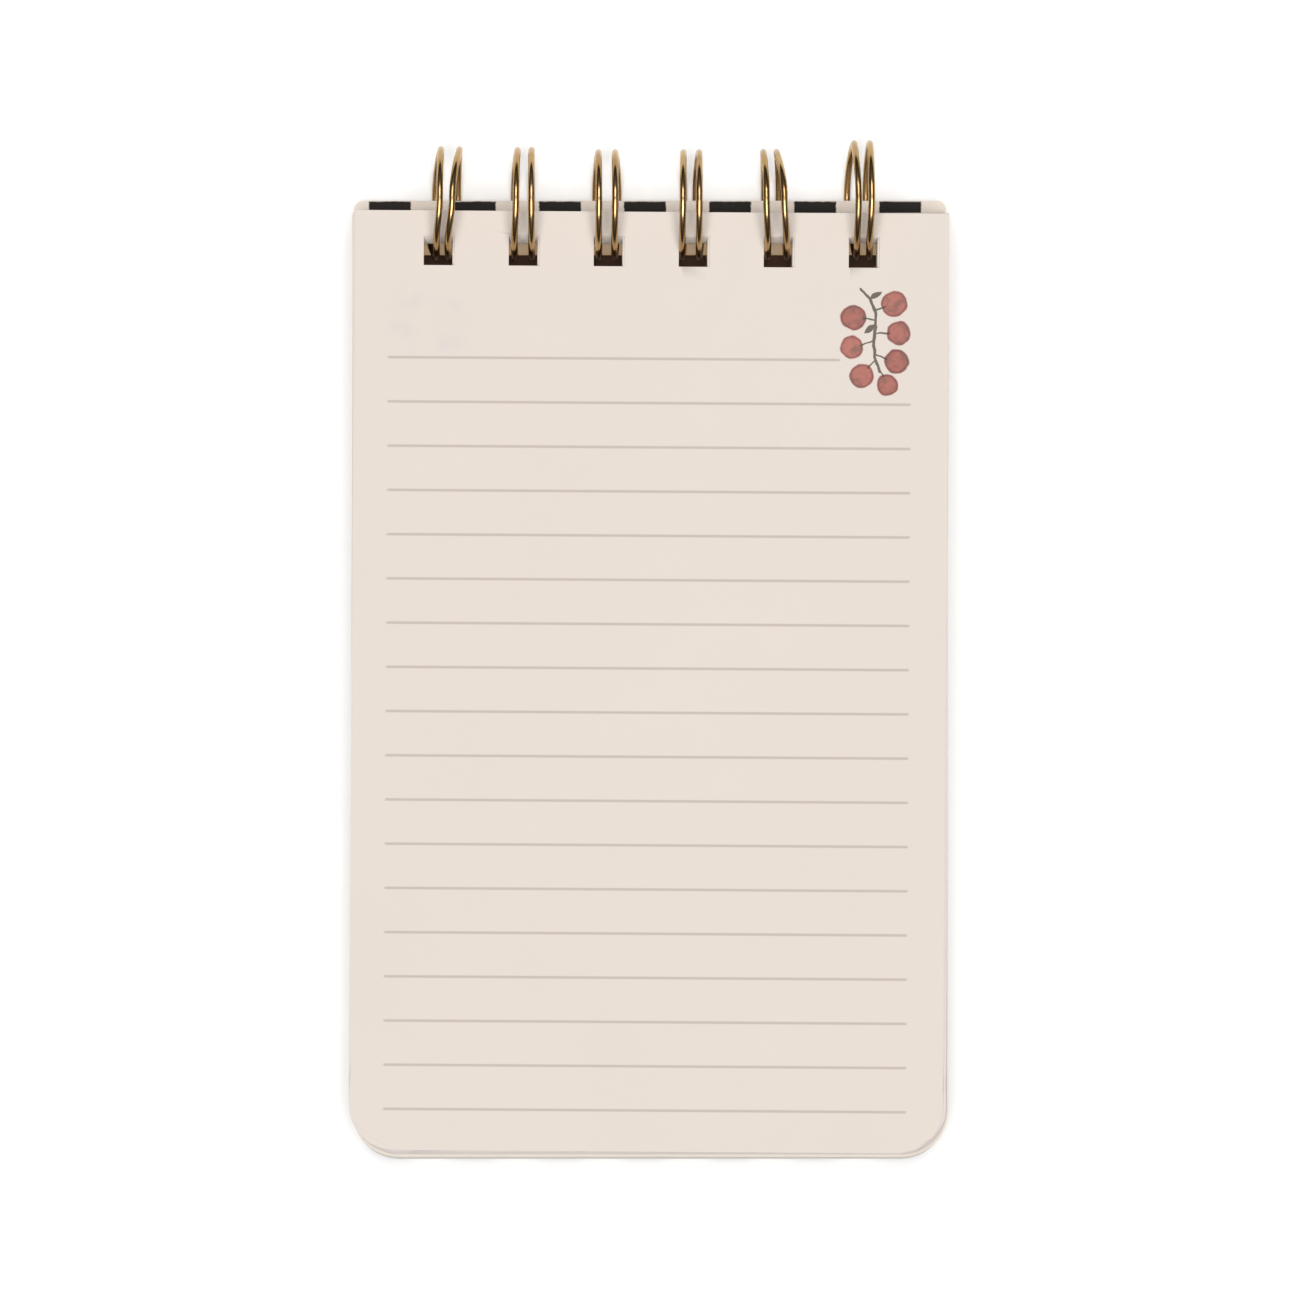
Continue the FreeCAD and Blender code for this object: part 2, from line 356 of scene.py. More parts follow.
# %% The sprig
BERRIES = [                   # middle x, middle y and radius in mm on the sheet, and tone
    (36.3, -13.5, 1.95, 0.35), (30.2, -15.6, 1.90, 0.70), (37.0, -17.9, 1.80, 0.55),
    (30.0, -20.0, 1.75, 0.20), (36.7, -22.1, 1.85, 0.80), (31.5, -24.3, 1.80, 0.45),
    (35.3, -25.6, 1.60, 0.60),
]
TWIG = [(31.3, -11.3), (32.6, -12.7), (33.4, -14.7), (33.5, -17.0), (33.2, -19.3), (33.4, -21.5),
        (34.2, -23.7)]
STALKS = [                    # from the twig to each berry
    ((33.3, -14.6), (35.0, -13.9)), ((33.5, -15.9), (31.6, -15.8)), ((33.4, -18.0), (35.5, -17.9)),
    ((33.2, -19.0), (31.4, -19.7)), ((33.4, -21.0), (35.2, -21.8)), ((33.5, -21.9), (32.4, -23.2)),
    ((34.1, -23.4), (34.8, -24.4)),
]
LEAVES = [((32.7, -12.8), (34.3, -11.8)), ((33.4, -16.6), (32.0, -17.9))]
TWIG_WIDTH, STALK_WIDTH, LEAF_WIDTH = 0.42, 0.26, 0.85
LEAF_TAPER = 0.8              # how much narrower a leaf is at its ends
BERRY_RIM = (0.55, 0.08)      # where a berry's darker rim starts and is full, inside its outline
OWN_TONE, RIM_TONE = 0.45, 0.7      # how much a berry's own tone and its rim darken it
STROKE_EDGE = (-0.05, 0.06)

berry_group, wire_up, given, result = new_group(
    "one_berry",
    {"Place": "Vector", "Middle": "Vector", "Radius": "Float", "Tone": "Float", "Softness": "Float",
     "Cover so far": "Float", "Tone so far": "Float"},
    {"Cover": "Float", "Tone": "Float"})
distance = wire_up.vector("DISTANCE", given["Place"], given["Middle"], output="Value")
inside = wire_up.math("SUBTRACT", given["Radius"], distance)
cover = wire_up.step(inside, wire_up.math("MULTIPLY", given["Softness"], -1.0), given["Softness"])
rim = wire_up.math("MULTIPLY", wire_up.step(inside, *BERRY_RIM), RIM_TONE)
tone = wire_up.math("ADD", wire_up.math("MULTIPLY", given["Tone"], OWN_TONE), rim)
tone = wire_up.math("MULTIPLY", tone, cover)
wire_up.feed(result["Cover"], wire_up.math("MAXIMUM", cover, given["Cover so far"]))
wire_up.feed(result["Tone"], wire_up.math("MAXIMUM", tone, given["Tone so far"]))

stroke_group, wire_up, given, result = new_group(
    "one_stroke",
    {"Place": "Vector", "From": "Vector", "To": "Vector", "Width": "Float", "Taper": "Float",
     "Cover so far": "Float"},
    {"Cover": "Float"})
along = wire_up.vector("SUBTRACT", given["To"], given["From"])
offset = wire_up.vector("SUBTRACT", given["Place"], given["From"])
share = wire_up.math(
    "DIVIDE", wire_up.vector("DOT_PRODUCT", offset, along, output="Value"),
    wire_up.vector("DOT_PRODUCT", along, along, output="Value"), clamp=True)
nearest = wire_up.vector("SCALE", along, scale=share)
distance = wire_up.vector("DISTANCE", offset, nearest, output="Value")
swell = wire_up.math("SINE", wire_up.math("MULTIPLY", share, math.pi))
narrowed = wire_up.math("MULTIPLY", wire_up.math("SUBTRACT", swell, 1.0), given["Taper"])
half_width = wire_up.math("MULTIPLY", wire_up.math("ADD", narrowed, 1.0),
                          wire_up.math("MULTIPLY", given["Width"], 0.5))
cover = wire_up.step(wire_up.math("SUBTRACT", half_width, distance), *STROKE_EDGE)
wire_up.feed(result["Cover"], wire_up.math("MAXIMUM", cover, given["Cover so far"]))
print("berries and strokes:", berry_group.name, "and", stroke_group.name)

# %% [markdown]
# The rules are easier: the distance to the nearest of a row of equally spaced lines, kept to the
# part of the page that they are printed on. The first rule stops short, to leave the sprig its
# room. Noise pushes the sprig's outlines about, as wet paint does. Rules and sprig together make
# one group, because a leaf needs them twice: once for the face that is looked at, and once,
# mirrored, blurred and very faint, for what shows through from its back.

# %% The print of one page
RULE_COUNT = 18
RULE_PITCH = 6.61
FIRST_RULE = 21.95            # from the top edge of the leaf
RULE_LEFT, RULE_RIGHT = -39.45, 39.0
FIRST_RULE_END = 28.4         # where the first rule stops for the sprig
RULE_THICKNESS = 0.40
RULE_FADE = 0.25              # from its middle, a rule is full to this share of its thickness
RULE_INK_NOISE = (1.5, 3.0)   # scale and detail
RULE_INK_SPAN = (0.75, 1.15)  # the noise makes a rule this much thinner or thicker
RULE_END = (-0.1, 0.4)        # a rule's end fades between these two, along the rule
HALF_LINE = (0.6, 0.4)        # a step between these tells one whole line number from the next
WOBBLE_SCALE, WOBBLE_DETAIL, WOBBLE = 0.55, 2.0, 0.62

print_group, wire_up, given, result = new_group(
    "page_print", {"Place": "Vector", "Softness": "Float"},
    {"Rules": "Float", "Berries": "Float", "Berry tone": "Float", "Twig": "Float"})
x, y = wire_up.split(given["Place"])[:2]
line_number = wire_up.math("DIVIDE", wire_up.math("ADD", y, FIRST_RULE), -RULE_PITCH)
nearest_line = wire_up.math("ROUND", line_number)
off_line = wire_up.math("ABSOLUTE", wire_up.math("SUBTRACT", line_number, nearest_line))
off_line = wire_up.math("MULTIPLY", off_line, RULE_PITCH)
ink = wire_up.span(wire_up.noise(given["Place"], *RULE_INK_NOISE), *RULE_INK_SPAN)
faded_out = wire_up.math("MULTIPLY", ink, RULE_THICKNESS * (1 - RULE_FADE))
line = wire_up.step(off_line, faded_out, RULE_THICKNESS * RULE_FADE)
first = wire_up.step(nearest_line, *HALF_LINE)
right_end = wire_up.math(
    "SUBTRACT", RULE_RIGHT, wire_up.math("MULTIPLY", first, RULE_RIGHT - FIRST_RULE_END))
printed = wire_up.math("MULTIPLY", wire_up.step(x, *(RULE_LEFT + end for end in RULE_END)),
                       wire_up.step(wire_up.math("SUBTRACT", right_end, x), *RULE_END))
above_first = [-limit for limit in HALF_LINE]
below_last = [RULE_COUNT - 1 + limit for limit in HALF_LINE]
for limits in (above_first, below_last):
    printed = wire_up.math("MULTIPLY", printed, wire_up.step(nearest_line, *limits))
wire_up.feed(result["Rules"], wire_up.math("MULTIPLY", line, printed))

wobble = wire_up.add("ShaderNodeTexNoise")
for name, value in (("Vector", given["Place"]), ("Scale", WOBBLE_SCALE), ("Detail", WOBBLE_DETAIL)):
    wire_up.feed(wobble.inputs[name], value)
centred = wire_up.vector("SUBTRACT", wobble.outputs["Color"], (0.5, 0.5, 0.5))
drawn_at = wire_up.vector("ADD", given["Place"], wire_up.vector("SCALE", centred, scale=WOBBLE))
flat = wire_up.vector("MULTIPLY", drawn_at, (1, 1, 0))
berries, shade = 0.0, 0.0
for middle_x, middle_y, radius, own_tone in BERRIES:
    berry = wire_up.use(
        berry_group, Place=flat, Middle=(middle_x, middle_y, 0), Radius=radius, Tone=own_tone,
        Softness=given["Softness"], Cover_so_far=berries, Tone_so_far=shade)
    berries, shade = berry["Cover"], berry["Tone"]
strokes = [(a, b, TWIG_WIDTH, 0.0) for a, b in zip(TWIG, TWIG[1:])]
strokes += [(a, b, STALK_WIDTH, 0.0) for a, b in STALKS]
strokes += [(a, b, LEAF_WIDTH, LEAF_TAPER) for a, b in LEAVES]
twig = 0.0
for start, end, width, taper in strokes:
    twig = wire_up.use(stroke_group, Place=flat, From=(*start, 0), To=(*end, 0), Width=width,
                       Taper=taper, Cover_so_far=twig)["Cover"]
wire_up.feed(result["Berries"], berries)
wire_up.feed(result["Berry tone"], shade)
wire_up.feed(result["Twig"], twig)
print("page print of", RULE_COUNT, "rules,", len(BERRIES), "berries and", len(strokes), "strokes")

# %% [markdown]
# Uncoated paper is never one flat colour. Its pulp is cloudy at the scale of centimetres and
# flecked with fibres at the scale of a tenth of a millimetre, and it scatters light with hardly
# any gloss. One group makes that for every paper here, and gives a height for the bump.

# %% Paper fibres
CLOUD = (0.045, 3.0, 0.6)     # each noise's scale, detail and roughness
WARMTH = (0.03, 2.0)
FIBRE = (2.6, 4.0, 0.65)
FIBRE_STRETCH = (1.0, 2.2, 1.0)
WARMTH_PLACE = (70, 20, 0)    # away from the clouds, so that the two don't fall together
WARM_TINT = (1.012, 0.992, 0.978, 1)

fibre_group, wire_up, given, result = new_group(
    "paper_fibres",
    {"Place": "Vector", "Colour": "Color", "Cloudiness": "Float", "Flecks": "Float"},
    {"Colour": "Color", "Height": "Float"})
cloud = wire_up.noise(given["Place"], *CLOUD)
warm = wire_up.noise(wire_up.vector("ADD", given["Place"], WARMTH_PLACE), *WARMTH)
fibres = wire_up.noise(wire_up.vector("MULTIPLY", given["Place"], FIBRE_STRETCH), *FIBRE)
clouds = wire_up.math("MULTIPLY", wire_up.math("SUBTRACT", cloud, 0.5), given["Cloudiness"])
flecks = wire_up.math("MULTIPLY", wire_up.math("SUBTRACT", fibres, 0.5), given["Flecks"])
lightness = wire_up.math("ADD", 1.0, wire_up.math("ADD", clouds, flecks))
tinted = wire_up.blend(wire_up.math("MULTIPLY", warm, 0.5), (1.0, 1.0, 1.0, 1), WARM_TINT)
tint = wire_up.vector("SCALE", tinted, scale=lightness)
wire_up.feed(result["Colour"], wire_up.vector("MULTIPLY", given["Colour"], tint))
wire_up.feed(result["Height"], fibres)
print("fibres of", len(fibre_group.nodes), "nodes")

# %% [markdown]
# Sheets get a rim of painted shade or painted light, and handling rubs print off the covers.
# A group measures how far a point is from a sheet's outline, which has one corner radius at the
# top and another one at the bottom.

# %% Distance to a sheet's edge
edge_group, wire_up, given, result = new_group(
    "distance_to_edge",
    {"Place": "Vector", "Width": "Float", "Length": "Float", "Top corner": "Float",
     "Low corner": "Float"},
    {"Distance": "Float"})
x, y = wire_up.split(given["Place"])[:2]
half_length = wire_up.math("MULTIPLY", given["Length"], 0.5)
lower_half = wire_up.math("LESS_THAN", wire_up.math("ADD", y, half_length), 0.0)
corner = wire_up.math("ADD", given["Top corner"], wire_up.math(
    "MULTIPLY", lower_half, wire_up.math("SUBTRACT", given["Low corner"], given["Top corner"])))
past_x = wire_up.math("SUBTRACT", wire_up.math("ADD", wire_up.math("ABSOLUTE", x), corner),
                      wire_up.math("MULTIPLY", given["Width"], 0.5))
past_y = wire_up.math("SUBTRACT", wire_up.math(
    "ADD", wire_up.math("ABSOLUTE", wire_up.math("ADD", y, half_length)), corner), half_length)
round_part = wire_up.vector("LENGTH", wire_up.join(
    wire_up.math("MAXIMUM", past_x, 0.0), wire_up.math("MAXIMUM", past_y, 0.0)), output="Value")
straight_part = wire_up.math("MINIMUM", wire_up.math("MAXIMUM", past_x, past_y), 0.0)
wire_up.feed(result["Distance"], wire_up.math(
    "SUBTRACT", corner, wire_up.math("ADD", round_part, straight_part)))
print("distance to an edge takes", len(edge_group.nodes), "nodes")

# %% [markdown]
# The leaf itself: fibres, what shows through, then a rim of painted shade or painted light along
# its edge, rules, berries in a watery dull red that is darker at the rims, and the twig over them.
# The faces that look sideways are the cut edges of the sheet, which carry no print and are darker
# in layers, painted shade for the shade between the sheets. Deep in the pad the punched edges are
# painted warm brown, painted shade for the dark holes. The lower face has the same print as the
# upper one, so the place is mirrored there.

# %% Leaf paper
PAPER = linear(228, 218, 209)
RULE_INK = linear(192, 180, 170)
RULE_STRENGTH = 0.76
BERRY_LIGHT = linear(190, 118, 106)
BERRY_DARK = linear(134, 68, 66)
BERRY_SHADE = linear(112, 88, 78)
TWIG_INK = linear(84, 78, 68)
SHOW_THROUGH = linear(217, 210, 209)
SHOW_THROUGH_STRENGTH = 0.9
# The cut edges mix two layer tones; the darker one is painted shade for the shade between the
# sheets.
CUT_EDGE_PAINTED_SHADE, CUT_EDGE = linear(208, 197, 186), linear(230, 221, 210)
# Painted shade: a lavender-grey rim that stands for the shade along the fanned edges of the stack.
PAINTED_SHADE_RIM = linear(226, 215, 211)
# Painted light: a lighter rim that lifts the half-shadow on the edges of the pad's inner leaves.
PAINTED_LIGHT_RIM = linear(250, 242, 231)
LEAF_TOP_CORNER, LEAF_LOW_CORNER = 0.3, 6.8
RIM_BAND = (0.9, 0.15)        # from the outline, where the rim starts and is full
# Painted shade: warm brown on the punched edges deep in the pad, for the shade down the holes,
# warmed as by light off the gold wire.
PAINTED_HOLE_SHADE = linear(128, 94, 62)
PUNCHED_BAND = (9.0, 3.0)     # the holes' cut edges lie between these two from the top of the leaf,
PUNCHED_REACH = 38.0          # and no further than this to either side
PUNCHED_FADE = 0.5
INK_EDGE, GHOST_EDGE = 0.13, 2.0
GHOST_FADE = (-24.0, -18.5)   # down the page, what shows through fades away
PATCHES, PATCHES_EDGE = (0.30, 4.0, 0.7), (0.32, 0.72)      # it shows through in patches only
BERRY_STRENGTH, TWIG_STRENGTH = 0.94, 0.88
WASH, WASH_MIDDLE, WASH_STRENGTH = (1.6, 4.0, 0.7), 0.45, 0.9
DULL, DULL_EDGE, DULL_STRENGTH = (0.55, 3.0, 0.6), (0.46, 0.64), 0.62
LAYER_STRETCH, LAYERS, LAYERS_EDGE = (0.04, 0.04, 5.0), (1.0, 3.0, 0.6), (0.35, 0.65)
CUT_FACES = (0.6, 0.3)        # a face is a cut edge where its normal's height is below these
FIBRE_HEIGHT = 0.00002

middle_low, middle_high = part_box("leaf_25")
leaf_width = (middle_high.x - middle_low.x) / MM
leaf_length = (middle_high.y - middle_low.y) / MM


def berry_ink(wiring, place, tone):
    """Watery red: washed lighter and darker, and dull in places."""
    wash = wiring.math("SUBTRACT", wiring.noise(place, *WASH), WASH_MIDDLE)
    depth = wiring.math("ADD", tone, wiring.math("MULTIPLY", wash, WASH_STRENGTH), clamp=True)
    dull = wiring.step(wiring.noise(place, *DULL), *DULL_EDGE)
    return wiring.blend(wiring.math("MULTIPLY", dull, DULL_STRENGTH),
                        wiring.blend(depth, BERRY_LIGHT, BERRY_DARK), BERRY_SHADE)


def cut_edge(wiring, place, x, y, hole_shade):
    """The side faces of the sheets, with painted shade where they are inside the punched holes."""
    top, foot = (-depth for depth in PUNCHED_BAND[::-1])
    punched = wiring.math("MULTIPLY", wiring.step(y, foot - PUNCHED_FADE, foot),
                          wiring.step(y, top + PUNCHED_FADE, top))
    off_x = wiring.math("ABSOLUTE", x)
    near_holes = wiring.step(off_x, PUNCHED_REACH + PUNCHED_FADE, PUNCHED_REACH)
    punched = wiring.math("MULTIPLY", wiring.math("MULTIPLY", punched, near_holes), hole_shade)
    layers = wiring.noise(wiring.vector("MULTIPLY", place, LAYER_STRETCH), *LAYERS)
    cut = wiring.blend(wiring.step(layers, *LAYERS_EDGE), CUT_EDGE_PAINTED_SHADE, CUT_EDGE)
    return wiring.blend(punched, cut, PAINTED_HOLE_SHADE)


def leaf_paper(name, middle, turn, hole_shade, rim, painted_rim_colour):
    """Printed paper. hole_shade: how strong the painted shade on its punched edges is. rim: how
    strong its rim of painted shade or painted light is.
    """
    material, wiring, shader = new_material(name, Roughness=0.88, Specular_IOR_Level=0.18)
    place, up = place_on_sheet(wiring, middle, turn)
    x, y = wiring.split(place)[:2]
    seen_x = wiring.math("MULTIPLY", x, wiring.math("SIGN", up))
    mirrored_x = wiring.math("MULTIPLY", seen_x, -1.0)
    front = wiring.use(print_group, Place=wiring.join(seen_x, y), Softness=INK_EDGE)
    behind = wiring.use(print_group, Place=wiring.join(mirrored_x, y), Softness=GHOST_EDGE)
    paper = wiring.use(fibre_group, Place=place, Colour=PAPER, Cloudiness=0.035, Flecks=0.035)
    patches = wiring.step(wiring.noise(place, *PATCHES), *PATCHES_EDGE)
    patches = wiring.math("MULTIPLY", patches, wiring.step(y, *GHOST_FADE))
    ghost = wiring.math("MULTIPLY", patches, SHOW_THROUGH_STRENGTH)
    ghost = wiring.math("MULTIPLY", behind["Berries"], ghost)
    to_edge = wiring.use(edge_group, Place=place, Width=leaf_width, Length=leaf_length,
                         Top_corner=LEAF_TOP_CORNER, Low_corner=LEAF_LOW_CORNER)["Distance"]
    edge = wiring.step(wiring.math("ABSOLUTE", up), *CUT_FACES)
    colour = paper["Colour"]
    for amount, paint in (
            (ghost, SHOW_THROUGH),
            # the rim: painted shade or painted light along the sheet's edge
            (wiring.math("MULTIPLY", wiring.step(to_edge, *RIM_BAND), rim), painted_rim_colour),
            (wiring.math("MULTIPLY", front["Rules"], RULE_STRENGTH), RULE_INK),
            (wiring.math("MULTIPLY", front["Berries"], BERRY_STRENGTH),
             berry_ink(wiring, place, front["Berry tone"])),
            (wiring.math("MULTIPLY", front["Twig"], TWIG_STRENGTH), TWIG_INK),
            (edge, cut_edge(wiring, place, x, y, hole_shade))):
        colour = wiring.blend(amount, colour, paint)
    wiring.feed(shader["Base Color"], colour)
    wiring.feed(shader["Normal"], wiring.bump(paper["Height"], FIBRE_HEIGHT, 0.35))
    return material


print("leaf paper of", round(leaf_width, 1), "by", round(leaf_length, 1), "mm")

# %% [markdown]
# The first leaves are the ones that get turned and read, and they no longer lie quite flat: their
# free corners lift by a few tenths of a millimetre. Each is a copy of its flat sheet, so its
# outline and its punched holes are exact. The copy's doubled points are merged, straight cuts
# are bisected through it so that it can bend, and its points are raised. A leaf lifts a little
# less than the one above it, so the leaves never pass through each other.

# %% Leaves that have been handled
TURNING_LEAVES = ["leaf_0%d" % n for n in range(1, 7)]
TOP_LIFT = 0.0007             # how far the first leaf's corners are raised
CUT_SPACING = 0.005
MERGED_WITHIN = 0.000002
FLAT_BELOW_AXIS = 0.012       # a leaf stays flat to this far down the page from the ring axis
MIDDLE_LIFT, SIDE_LIFT, RIGHT_LIFT = 0.30, 0.45, 0.25
RIPPLE, RIPPLE_DOWN, RIPPLE_ACROSS = 0.10, 7.0, 2.0
# The painted shade on the punched edges grows by this much with each leaf down the pad.
PAINTED_HOLE_SHADE_PER_LEAF = 0.08
# The handled leaves and the last leaves get a rim of painted shade, at this strength.
PAINTED_RIM_STRENGTH = 0.9                # how strong the rim of a sheet that has been rubbed is


def only(piece):
    """Selects one object and nothing else."""
    bpy.ops.object.select_all(action="DESELECT")
    piece.select_set(True)
    bpy.context.view_layer.objects.active = piece


def lift_at(point, most):
    """How far a leaf is raised over its flat place."""
    down = max(0.0, (ring_axis.y - FLAT_BELOW_AXIS - point.y) / (leaf_high.y - leaf_low.y))
    across = (point.x - ring_axis.x) / (leaf_high.x - leaf_low.x) * 2
    curl = MIDDLE_LIFT + SIDE_LIFT * across ** 2 + RIGHT_LIFT * max(0.0, across) ** 3
    ripple = RIPPLE * (1 + math.sin(RIPPLE_DOWN * down + RIPPLE_ACROSS * across))
    return most * down ** 2 * (curl + ripple)


def cut_into_bands(piece):
    """Straight cuts across and down the sheet."""
    only(piece)
    bpy.ops.object.mode_set(mode="EDIT")
    bpy.ops.mesh.select_all(action="SELECT")
    bpy.ops.mesh.remove_doubles(threshold=MERGED_WITHIN)
    for cut, end, way in ((leaf_low.y, ring_axis.y - FLAT_BELOW_AXIS, (0, 1, 0)),
                          (leaf_low.x, leaf_high.x, (1, 0, 0))):
        cut += CUT_SPACING
        while cut < end:
            bpy.ops.mesh.select_all(action="SELECT")
            bpy.ops.mesh.bisect(plane_co=[cut * part for part in way], plane_no=way)
            cut += CUT_SPACING
    bpy.ops.object.mode_set(mode="OBJECT")


for depth, node in enumerate(TURNING_LEAVES):
    sheet = bpy.data.objects.new(node + "_sheet", frame["nodes"][node].data.copy())
    bpy.context.scene.collection.objects.link(sheet)
    cut_into_bands(sheet)
    for vertex in sheet.data.vertices:
        vertex.co.z += lift_at(vertex.co, TOP_LIFT * (1 - depth / len(TURNING_LEAVES)))
    only(sheet)
    bpy.ops.object.shade_smooth_by_angle(angle=math.radians(30))
    # Each handled leaf but the first gets a rim of painted shade, and painted shade in its holes
    # that deepens down the pad.
    paper = leaf_paper(node + "_paper", *sheet_place(node), PAINTED_HOLE_SHADE_PER_LEAF * depth,
                       PAINTED_RIM_STRENGTH if depth else 0.0, PAINTED_SHADE_RIM)
    sheet.data.materials.clear()
    sheet.data.materials.append(paper)
    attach(sheet, node)
    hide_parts(node)
    print(node, "has", len(sheet.data.polygons), "faces")

# %% [markdown]
# The rest of the pad keeps its exact sheets, which show mostly as a stack of cut edges. They
# share one paper with a rim of painted light, but the last few get the greyer rim of painted shade.

# %% The rest of the pad
LAST_LEAVES = ["leaf_%d" % n for n in range(43, 51)]


def finish_node(node, material):
    """Gives one of the exact sheets its only material."""
    materials = frame["nodes"][node].data.materials
    materials.clear()
    materials.append(material)


# The pad's inner leaves get a rim of painted light, the last ones a rim of painted shade.
pad_paper = leaf_paper("pad_paper", *sheet_place("leaf_25"), 1.0, 1.0, PAINTED_LIGHT_RIM)
last_paper = leaf_paper("last_leaves_paper", *sheet_place("leaf_25"), 1.0, PAINTED_RIM_STRENGTH, PAINTED_SHADE_RIM)
plain_leaves = [n for n in frame["nodes"] if n.startswith("leaf_") and n not in TURNING_LEAVES]
for node in plain_leaves:
    finish_node(node, last_paper if node in LAST_LEAVES else pad_paper)
print("plain leaves", len(plain_leaves), "of which greyed", len(LAST_LEAVES))

# %% [markdown]
# The covers' outer paper is printed in wide stripes, near-black on cream. The inner paper is
# plain, and between them is a grey board whose cut edge shows all round. Handling rubs the print
# off along the edges. The part of the folded cover that shows at the bottom of the pad's holes
# gets a dark brown spot of painted shade below each loop.

# %% Cover papers
STRIPE_PITCH = 12.77
STRIPE_WIDTH = 6.3
STRIPE_OFFSET = -0.75
STRIPE_BLUR = 0.008           # a stripe's side fades this share of the pitch to either side
RAGGED, RAGGED_SPAN = (2.0, 3.0), (-0.012, 0.012)
RUBBED, RUBBED_SPAN, RUBBED_EDGE = (0.8, 4.0, 0.6), (0.0, 0.34), (-0.03, 0.10)
RUBBED_STRENGTH = 0.7
COVER_CREAM = linear(244, 233, 222)
COVER_BLACK = linear(31, 25, 22)
# Painted shade: dark brown spots on the front cover's face below each loop, for the shade seen down
# the pad's holes.
SHADE_SPOT_BROWN = linear(100, 60, 32)
SHADE_SPOT_MIDDLE, SHADE_SPOT_REACH = -9.0, (2.8, 2.1)
SHADE_SPOT_NOISE, SHADE_SPOT_SPAN, SHADE_SPOT_EDGE = (0.7, 4.0, 0.6), (-0.15, 0.15), (1.05, 0.75)
SHADE_SPOT_STRENGTH = 0.95
SHADE_SPOT_LOOPS = 3             # to either side of the middle of the cover
COVER_EDGE = linear(168, 162, 156)
COVER_EDGE_STRENGTH = 0.9
COVER_RIM = linear(214, 210, 204)
COVER_RIM_BAND, COVER_RIM_STRENGTH = (0.9, 0.5), 0.85
COVER_TOP_CORNER, COVER_LOW_CORNER = 1.4, 6.8

cover_low, cover_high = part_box("front_cover_face")
cover_width = (cover_high.x - cover_low.x) / MM
cover_length = (cover_high.y - cover_low.y) / MM


def stripes(wiring, place, x, to_edge):
    """1 in the black stripes, less where they are rubbed off near the cover's edge."""
    stripe = wiring.math("DIVIDE", wiring.math("SUBTRACT", x, STRIPE_OFFSET), STRIPE_PITCH)
    off_stripe = wiring.math("SUBTRACT", stripe, wiring.math("ROUND", stripe))
    ragged = wiring.span(wiring.noise(place, *RAGGED), *RAGGED_SPAN)
    off_stripe = wiring.math("ADD", wiring.math("ABSOLUTE", off_stripe), ragged)
    half_share = STRIPE_WIDTH / STRIPE_PITCH / 2
    black = wiring.step(off_stripe, half_share + STRIPE_BLUR, half_share - STRIPE_BLUR)
    rubbed = wiring.span(wiring.noise(place, *RUBBED), *RUBBED_SPAN)
    rubbed = wiring.step(wiring.math("SUBTRACT", rubbed, to_edge), *RUBBED_EDGE)
    left = wiring.math("SUBTRACT", 1.0, wiring.math("MULTIPLY", rubbed, RUBBED_STRENGTH))
    return wiring.math("MULTIPLY", black, left)


def shade_spots_below_loops(wiring, place, x, y):
    """Near 1 in a ragged spot of painted shade below each loop of the wire."""
    pitch = LOOP_PITCH / MM
    loop = wiring.math("SUBTRACT", wiring.math("DIVIDE", x, pitch), 0.5)
    off_x = wiring.math("SUBTRACT", loop, wiring.math("ROUND", loop))
    off_x = wiring.math("MULTIPLY", off_x, pitch / SHADE_SPOT_REACH[0])
    off_y = wiring.math("DIVIDE", wiring.math("SUBTRACT", y, SHADE_SPOT_MIDDLE), SHADE_SPOT_REACH[1])
    away = wiring.vector("LENGTH", wiring.join(off_x, off_y), output="Value")
    ragged = wiring.span(wiring.noise(place, *SHADE_SPOT_NOISE), *SHADE_SPOT_SPAN)
    spot = wiring.step(wiring.math("ADD", away, ragged), *SHADE_SPOT_EDGE)
    within = wiring.math("LESS_THAN", wiring.math("ABSOLUTE", x), SHADE_SPOT_LOOPS * pitch)
    return wiring.math("MULTIPLY", wiring.math("MULTIPLY", spot, SHADE_SPOT_STRENGTH), within)


def cover_paper(name, node, striped, with_shade_spots):
    """The striped outer paper or the plain inner one, with the spots of painted shade or without.
    """
    material, wiring, shader = new_material(name, Roughness=0.66, Specular_IOR_Level=0.25)
    low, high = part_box(node)
    place, up = place_on_sheet(wiring, Vector(((low.x + high.x) / 2, high.y, 0)), 0)
    x, y = wiring.split(place)[:2]
    paper = wiring.use(fibre_group, Place=place, Colour=COVER_CREAM, Cloudiness=0.03, Flecks=0.03)
    to_edge = wiring.use(edge_group, Place=place, Width=cover_width, Length=cover_length,
                         Top_corner=COVER_TOP_CORNER, Low_corner=COVER_LOW_CORNER)["Distance"]
    colour = paper["Colour"]
    if striped:
        colour = wiring.blend(stripes(wiring, place, x, to_edge), colour, COVER_BLACK)
    if with_shade_spots:
        colour = wiring.blend(shade_spots_below_loops(wiring, place, x, y), colour, SHADE_SPOT_BROWN)
    if not striped:
        rim = wiring.math("MULTIPLY", wiring.step(to_edge, *COVER_RIM_BAND), COVER_RIM_STRENGTH)
        colour = wiring.blend(rim, colour, COVER_RIM)
    edge = wiring.step(wiring.math("ABSOLUTE", up), *CUT_FACES)
    edge = wiring.math("MULTIPLY", edge, COVER_EDGE_STRENGTH)
    colour = wiring.blend(edge, colour, COVER_EDGE)
    wiring.feed(shader["Base Color"], colour)
    wiring.feed(shader["Normal"], wiring.bump(paper["Height"], FIBRE_HEIGHT, 0.3))
    return material


print("cover paper of", round(cover_width, 1), "by", round(cover_length, 1), "mm")

# %% [markdown]
# The board is pressed from layers of pulp, which show along its cut edge, and is flecked with
# fibres. Then every layer of both covers gets its finish.

